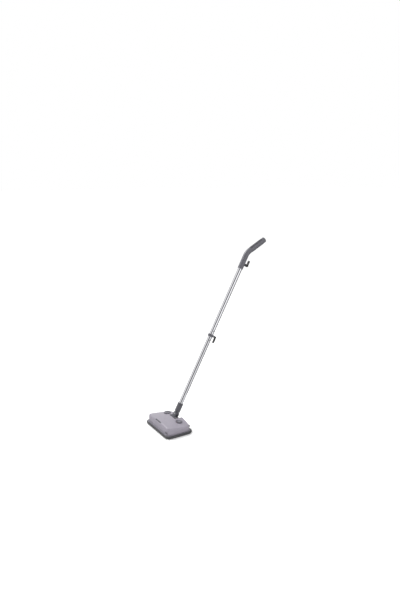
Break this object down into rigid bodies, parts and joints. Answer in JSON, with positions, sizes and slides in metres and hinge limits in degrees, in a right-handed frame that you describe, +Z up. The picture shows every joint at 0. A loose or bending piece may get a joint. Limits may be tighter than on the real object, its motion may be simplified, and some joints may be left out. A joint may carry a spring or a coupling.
{
  "type": "steam mop",
  "caption": "Upright steam floor mop: wide low head with a crowned cover and a washable pad, swivelling neck, polished tube with a collar, bent handle and cord hooks.",
  "frame": {"origin": "on the floor, under the middle of the floor head", "axes": "+X along the long side of the head, -Y towards the front of the head, +Y towards the user, +Z up"},
  "size_m": [0.27, 0.7354, 1.0315],
  "materials": {
    "cover_plastic": "satin moulded",
    "housing_plastic": "satin moulded",
    "bumper_rubber": "matte",
    "dark_plastic": "satin moulded",
    "black_plastic": "gloss moulded",
    "handle_plastic": "satin moulded",
    "grip_rubber": "matte",
    "fitting_plastic": "satin moulded",
    "lens_plastic": "clear tinted",
    "inner_plastic": "moulded",
    "tube_aluminium": "polished",
    "cast_aluminium": "as cast",
    "plate_aluminium": "brushed",
    "steel": "plated",
    "brass": "plain",
    "silicone": "matte",
    "wire_sleeve": "matte",
    "pad_fabric": "woven pile",
    "strip_fabric": "hook strip"
  },
  "bodies": {
    "head": {"cleaning_pad": "pad_fabric", "hook_strips": "strip_fabric", "sole_plate": "plate_aluminium", "sole_screws": "steel", "lower_tray": "housing_plastic", "housing_screws": "steel", "bumper_strip": "bumper_rubber", "top_cover": "cover_plastic", "badge_plate": "dark_plastic", "cord_gland": "black_plastic", "switch_bezel": "fitting_plastic", "indicator_lens": "lens_plastic", "button_spring": "steel", "switch_body": "inner_plastic", "boiler_base": "cast_aluminium", "boiler_gasket": "silicone", "boiler_lid": "cast_aluminium", "boiler_screws": "steel", "heating_element": "steel", "filler_neck": "cast_aluminium", "filler_neck_seal": "silicone", "thermostats": "inner_plastic", "thermal_fuse": "steel", "steam_valve": "brass", "steam_hose": "silicone", "steam_manifold": "inner_plastic", "terminal_block": "inner_plastic", "wiring_loom": "wire_sleeve", "bearing_block_left": "dark_plastic", "bearing_block_right": "dark_plastic", "bearing_screws": "steel", "friction_washers": "inner_plastic"},
    "power_button": {"button_cap": "fitting_plastic"},
    "cap_seal": {"filler_gasket": "silicone"},
    "filler_cap": {"cap_knob": "fitting_plastic", "cap_plug": "inner_plastic", "cap_relief_valve": "brass", "cap_valve_spring": "steel"},
    "yoke": {"neck_yoke": "dark_plastic", "roll_pin": "steel"},
    "pole": {"neck_sleeve": "dark_plastic", "sleeve_screw": "steel", "lower_tube": "tube_aluminium", "upper_tube": "tube_aluminium", "tube_joiner": "inner_plastic", "tube_plugs": "inner_plastic", "snap_spring_lower": "steel", "snap_spring_upper": "steel", "hook_collar": "dark_plastic", "collar_screws": "steel", "lower_cord_hook": "black_plastic", "handle_left": "handle_plastic", "handle_right": "handle_plastic", "handle_screws": "steel", "grip_inlays": "grip_rubber", "handle_end_cap": "grip_rubber", "hook_pivot_screw": "steel"},
    "snap_lower": {"snap_button_lower": "black_plastic"},
    "snap_upper": {"snap_button_upper": "black_plastic"},
    "cord_hook": {"upper_cord_hook": "black_plastic"}
  },
  "joints": [
    {"name": "neck_pitch", "type": "hinge", "parent": "head", "child": "yoke", "pos_m": [0, 0.036, 0.052], "axis": [-1, 0, 0], "range_deg": [-28.4, 50]},
    {"name": "neck_roll", "type": "hinge", "parent": "yoke", "child": "pole", "pos_m": [0, 0.04767, 0.07354], "axis": [0, 0.8792, -0.4765], "range_deg": [-40, 40]},
    {"name": "cap_lift", "type": "slide", "parent": "head", "child": "cap_seal", "axis": [0, 0, 1], "range_m": [0, 0.012]},
    {"name": "cap_turn", "type": "hinge", "parent": "cap_seal", "child": "filler_cap", "pos_m": [-0.068, 0.028, 0.06], "axis": [0, 0, 1], "range_deg": [0, 1080]},
    {"name": "power_press", "type": "slide", "parent": "head", "child": "power_button", "axis": [0, 0, -1], "range_m": [0, 0.003], "stiffness_N_per_m": 400, "springref_m": -0.002, "deforming": ["button_spring"]},
    {"name": "snap_press_lower", "type": "slide", "parent": "pole", "child": "snap_lower", "axis": [-1, 0, 0], "range_m": [0, 0.003], "stiffness_N_per_m": 500, "springref_m": -0.002, "deforming": ["snap_spring_lower"]},
    {"name": "snap_press_upper", "type": "slide", "parent": "pole", "child": "snap_upper", "axis": [-1, 0, 0], "range_m": [0, 0.003], "stiffness_N_per_m": 500, "springref_m": -0.002, "deforming": ["snap_spring_upper"]},
    {"name": "cord_hook_swivel", "type": "hinge", "parent": "pole", "child": "cord_hook", "pos_m": [0, 0.51005, 0.88473], "axis": [0, 0.8792, -0.4765], "range_deg": [0, 180]}
  ],
  "couplings": [
    {"joint": "cap_turn", "follows": "cap_lift", "rad_per_m": 1570.8}
  ]
}
